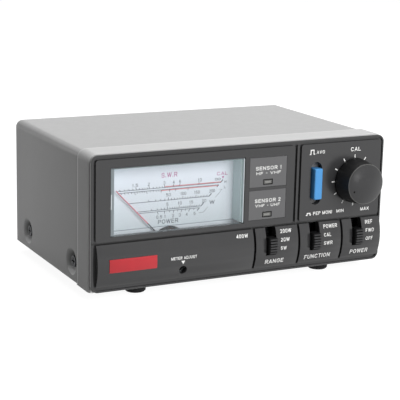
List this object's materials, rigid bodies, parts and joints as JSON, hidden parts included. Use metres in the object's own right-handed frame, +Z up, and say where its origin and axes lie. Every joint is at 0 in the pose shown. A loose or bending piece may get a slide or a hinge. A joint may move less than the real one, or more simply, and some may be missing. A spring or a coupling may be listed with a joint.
{
  "type": "swr and power meter",
  "caption": "Bench meter for standing-wave ratio and transmitter power: moving-coil dial in a grey steel case with slide levers, a push key, a calibration knob and rear coaxial sockets.",
  "frame": {"origin": "under the middle of the object, on the surface that its feet stand on", "axes": "+X to the right seen from the front, +Y from the front to the rear, +Z up"},
  "size_m": [0.1564, 0.1254, 0.0688],
  "materials": {
    "cover_paint": "light grey baked enamel, satin",
    "chassis_paint": "dark grey enamel, satin",
    "panel_plastic": "charcoal moulding, fine grain",
    "black_screw": "blackened steel",
    "steel_screw": "zinc plated",
    "foot_rubber": "matt black",
    "badge_red": "plain red plate",
    "meter_plastic": "pale grey moulding",
    "black_plastic": "black moulding",
    "shroud_plastic": "grey moulding",
    "clear_pane": "clear moulded pane",
    "dial_paint": "pale matt dial",
    "mask_plastic": "pale strip",
    "bridge_grey": "grey lacquer",
    "bronze": "spring bronze",
    "jewel": "ruby red, polished",
    "magnet": "ground magnet alloy",
    "soft_iron": "ground soft iron",
    "needle_red": "red lacquer",
    "copper_wire": "enamelled wire",
    "bright_steel": "ground steel",
    "lamp_glass": "clear lamp",
    "knob_black": "satin black, spun cap face",
    "lever_black": "ribbed black",
    "switch_frame": "plated frame",
    "key_blue": "blue moulding",
    "plate_grey": "grey anodised plate",
    "lens_smoke": "smoked lens",
    "board_green": "solder mask",
    "nickel": "nickel plate",
    "insulator_white": "off-white insulator",
    "contact_brass": "gold flashed brass",
    "cast_box": "cast aluminium",
    "sheet_lid": "bare sheet",
    "lead_red": "lead insulation"
  },
  "bodies": {
    "case": {"top_cover": "cover_paint", "chassis": "chassis_paint", "front_panel": "panel_plastic", "cover_screws": "black_screw", "panel_screws": "steel_screw", "foot_front_left": "foot_rubber", "foot_front_right": "foot_rubber", "foot_rear_left": "foot_rubber", "foot_rear_right": "foot_rubber", "foot_screws": "steel_screw", "badge_plate": "badge_red", "meter_case": "meter_plastic", "meter_back": "black_plastic", "meter_screws": "steel_screw", "meter_shroud": "shroud_plastic", "meter_window": "clear_pane", "scale_plate": "dial_paint", "scale_mask": "mask_plastic", "scale_screws": "steel_screw", "front_bridge": "bridge_grey", "rear_bridge": "bronze", "bearing_jewels": "jewel", "core_magnet": "magnet", "magnet_yoke": "soft_iron", "meter_terminals": "contact_brass", "dial_lamp": "lamp_glass", "lamp_holder": "black_plastic", "cal_pot": "black_plastic", "panel_nuts": "steel_screw", "range_switch": "switch_frame", "function_switch": "switch_frame", "power_switch": "switch_frame", "mode_switch": "switch_frame", "sensor_plates": "plate_grey", "sensor_lamps": "lens_smoke", "control_board": "board_green", "board_screws": "steel_screw", "socket_shells": "nickel", "socket_insulators": "insulator_white", "socket_contacts": "contact_brass", "socket_screws": "steel_screw", "coupler_boxes": "cast_box", "coupler_lids": "sheet_lid", "line_rods": "contact_brass", "pickup_boards": "board_green", "dc_jack": "black_plastic", "inner_leads": "lead_red"},
    "needle": {"needle": "needle_red", "moving_coil": "copper_wire", "needle_pivots": "bright_steel", "hairspring": "bronze"},
    "cal_knob": {"cal_knob": "knob_black", "cal_shaft": "bright_steel"},
    "mode_key": {"mode_key": "key_blue", "mode_plunger": "black_plastic"},
    "range_lever": {"range_lever": "lever_black"},
    "function_lever": {"function_lever": "lever_black"},
    "power_lever": {"power_lever": "lever_black"},
    "zero_screw": {"zero_screw": "black_plastic"},
    "zero_arm": {"zero_arm": "bronze"}
  },
  "joints": [
    {"name": "needle_swing", "type": "hinge", "parent": "case", "child": "needle", "pos_m": [-0.0351, -0.04285, 0.0213], "axis": [0, 1, 0], "range_deg": [0, 88], "stiffness_Nm_per_rad": 0.0005, "deforming": ["hairspring"]},
    {"name": "cal_turn", "type": "hinge", "parent": "case", "child": "cal_knob", "pos_m": [0.0606, -0.05605, 0.0469], "axis": [0, 1, 0], "range_deg": [-34, 266]},
    {"name": "mode_press", "type": "slide", "parent": "case", "child": "mode_key", "axis": [0, 1, 0], "range_m": [0, 0.0024], "stiffness_N_per_m": 400},
    {"name": "range_slide", "type": "slide", "parent": "case", "child": "range_lever", "axis": [0, 0, 1], "range_m": [0, 0.004]},
    {"name": "function_slide", "type": "slide", "parent": "case", "child": "function_lever", "axis": [0, 0, 1], "range_m": [0, 0.004]},
    {"name": "power_slide", "type": "slide", "parent": "case", "child": "power_lever", "axis": [0, 0, 1], "range_m": [0, 0.004]},
    {"name": "zero_turn", "type": "hinge", "parent": "case", "child": "zero_screw", "pos_m": [-0.0328, -0.04765, 0.012], "axis": [0, 1, 0], "range_deg": [-30, 30]},
    {"name": "zero_arm_turn", "type": "hinge", "parent": "case", "child": "zero_arm", "pos_m": [-0.0351, -0.04455, 0.0213], "axis": [0, 1, 0], "range_deg": [-2.5, 2.5]}
  ],
  "couplings": [
    {"joint": "zero_arm_turn", "follows": "zero_turn", "ratio": 0.06809}
  ]
}
